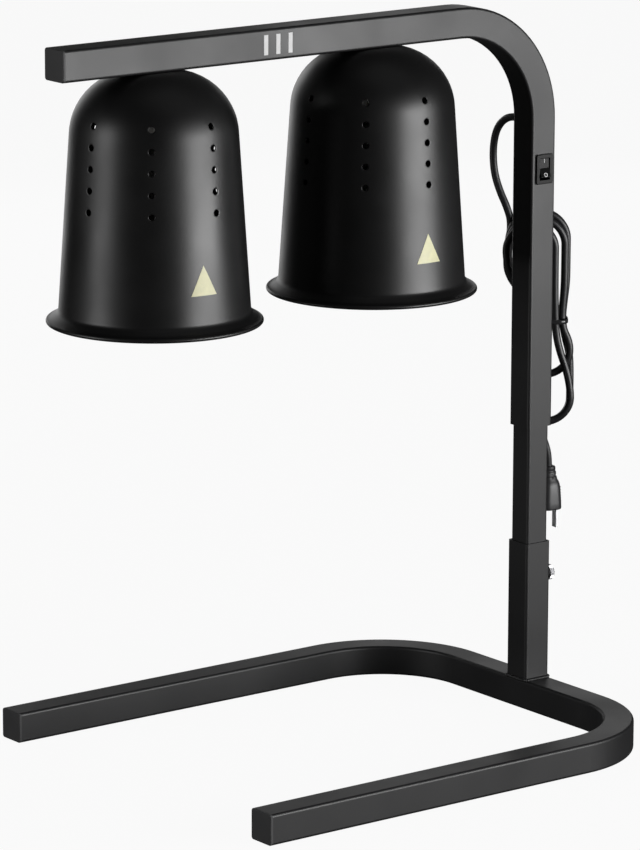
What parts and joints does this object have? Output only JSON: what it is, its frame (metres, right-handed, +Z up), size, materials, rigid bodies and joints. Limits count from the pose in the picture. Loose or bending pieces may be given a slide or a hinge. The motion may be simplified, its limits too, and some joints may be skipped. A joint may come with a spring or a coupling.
{
  "type": "heat lamp fixture",
  "caption": "Free-standing food warming lamp: square tube stand with telescoping post, overhead arm, bell shades over reflector bulbs, rocker switch and tied mains cord.",
  "frame": {"origin": "on the surface it stands on, midway between its front and its back and between its legs", "axes": "+Z up; -Y to the front, where the base legs and the arm point; +X to the switch side"},
  "size_m": [0.372, 0.5338, 0.6043],
  "materials": {
    "black_powder_coat": "satin",
    "black_cap_plastic": "matte",
    "bright_steel": "satin",
    "zinc_steel": "satin",
    "porcelain": "gloss",
    "plated_brass": "satin",
    "frosted_glass": "satin",
    "label_film": "satin",
    "mark_ink": "satin",
    "switch_plastic": "gloss",
    "black_wire": "satin",
    "green_wire": "satin",
    "splice_plastic": "satin",
    "cord_pvc": "satin",
    "tie_plastic": "gloss"
  },
  "bodies": {
    "base": {"base_frame": "black_powder_coat", "base_cap_near": "black_cap_plastic", "base_cap_far": "black_cap_plastic", "lower_post": "black_powder_coat", "clamp_nut": "black_powder_coat"},
    "clamp_stud": {"clamp_stud": "bright_steel"},
    "clamp_knob": {"clamp_knob": "bright_steel"},
    "upper": {"upper_frame": "black_powder_coat", "inner_mast": "black_powder_coat", "shade_front": "black_powder_coat", "shade_rear": "black_powder_coat", "arm_cap": "black_cap_plastic", "plug_pins": "bright_steel", "mast_screws": "zinc_steel", "earth_screw": "zinc_steel", "nipple_front": "zinc_steel", "arm_nut_front": "zinc_steel", "shade_washer_front": "zinc_steel", "shade_nut_front": "zinc_steel", "nipple_rear": "zinc_steel", "arm_nut_rear": "zinc_steel", "shade_washer_rear": "zinc_steel", "shade_nut_rear": "zinc_steel", "lampholder_front": "porcelain", "lampholder_rear": "porcelain", "switch_terminals": "plated_brass", "screw_shell_front": "plated_brass", "centre_contact_front": "plated_brass", "bulb_cap_front": "plated_brass", "screw_shell_rear": "plated_brass", "centre_contact_rear": "plated_brass", "bulb_cap_rear": "plated_brass", "bulb_glass_front": "frosted_glass", "bulb_glass_rear": "frosted_glass", "caution_label_front": "label_film", "caution_label_rear": "label_film", "arm_mark": "mark_ink", "switch_housing": "switch_plastic", "wires_front": "black_wire", "wires_rear": "black_wire", "supply_wires": "black_wire", "earth_wire": "green_wire", "wire_splices": "splice_plastic", "cord_lead": "cord_pvc", "cord_tail": "cord_pvc", "cord_hank": "cord_pvc", "plug_body": "cord_pvc", "strain_relief": "cord_pvc", "cord_tie": "tie_plastic"},
    "rocker": {"rocker": "switch_plastic"}
  },
  "joints": [
    {"name": "height_slide", "type": "slide", "parent": "base", "child": "upper", "axis": [0, 0, 1], "range_m": [-0.036, 0.034]},
    {"name": "clamp_turn", "type": "hinge", "parent": "clamp_stud", "child": "clamp_knob", "pos_m": [0, 0.22755, 0.113], "axis": [0, 1, 0], "range_deg": [0, 1080]},
    {"name": "clamp_travel", "type": "slide", "parent": "base", "child": "clamp_stud", "axis": [0, 1, 0], "range_m": [0, 0.003]},
    {"name": "rocker_press", "type": "hinge", "parent": "upper", "child": "rocker", "pos_m": [0.009, 0.22755, 0.463], "axis": [0, 1, 0], "range_deg": [0, 22]}
  ],
  "couplings": [
    {"joint": "clamp_travel", "follows": "clamp_turn", "m_per_rad": 0.00015915}
  ]
}
